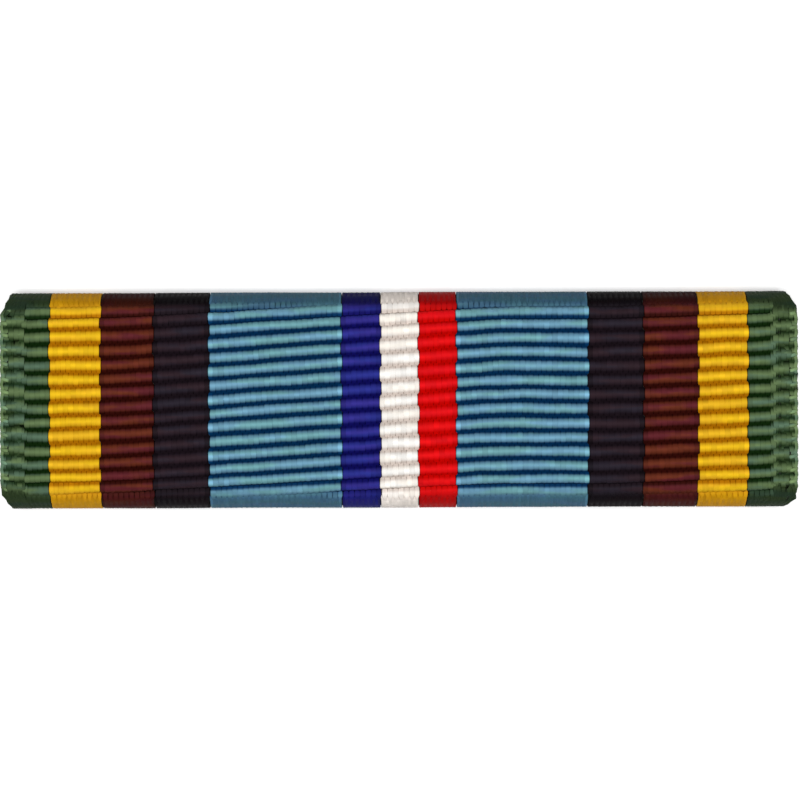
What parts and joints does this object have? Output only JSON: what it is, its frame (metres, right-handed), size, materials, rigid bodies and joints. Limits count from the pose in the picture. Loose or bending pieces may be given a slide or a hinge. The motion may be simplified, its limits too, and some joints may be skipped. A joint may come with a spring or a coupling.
{
  "type": "ribbon bar",
  "caption": "Slide-on ribbon bar: a striped, ribbed ribbon wrapped round a thin metal plate, whose long edges curl into a channel for a mounting rail.",
  "frame": {"origin": "bottom centre of the bounding box: on the surface that the bar lies on, below the middle of its face", "axes": "+X along the bar, to the right as the face is seen; +Y up as worn; +Z out of the face"},
  "size_m": [0.0348, 0.0094, 0.0034],
  "materials": {
    "back_plate": "satin",
    "ribbon": "matte",
    "green_yarn": "matte",
    "yellow_yarn": "matte",
    "brown_yarn": "matte",
    "black_yarn": "matte",
    "light_blue_yarn": "matte",
    "ultramarine_yarn": "matte",
    "white_yarn": "matte",
    "scarlet_yarn": "matte",
    "weft_yarn": "matte"
  },
  "bodies": {
    "root": {"back_plate": "back_plate", "ribbon": "ribbon"}
  },
  "joints": []
}
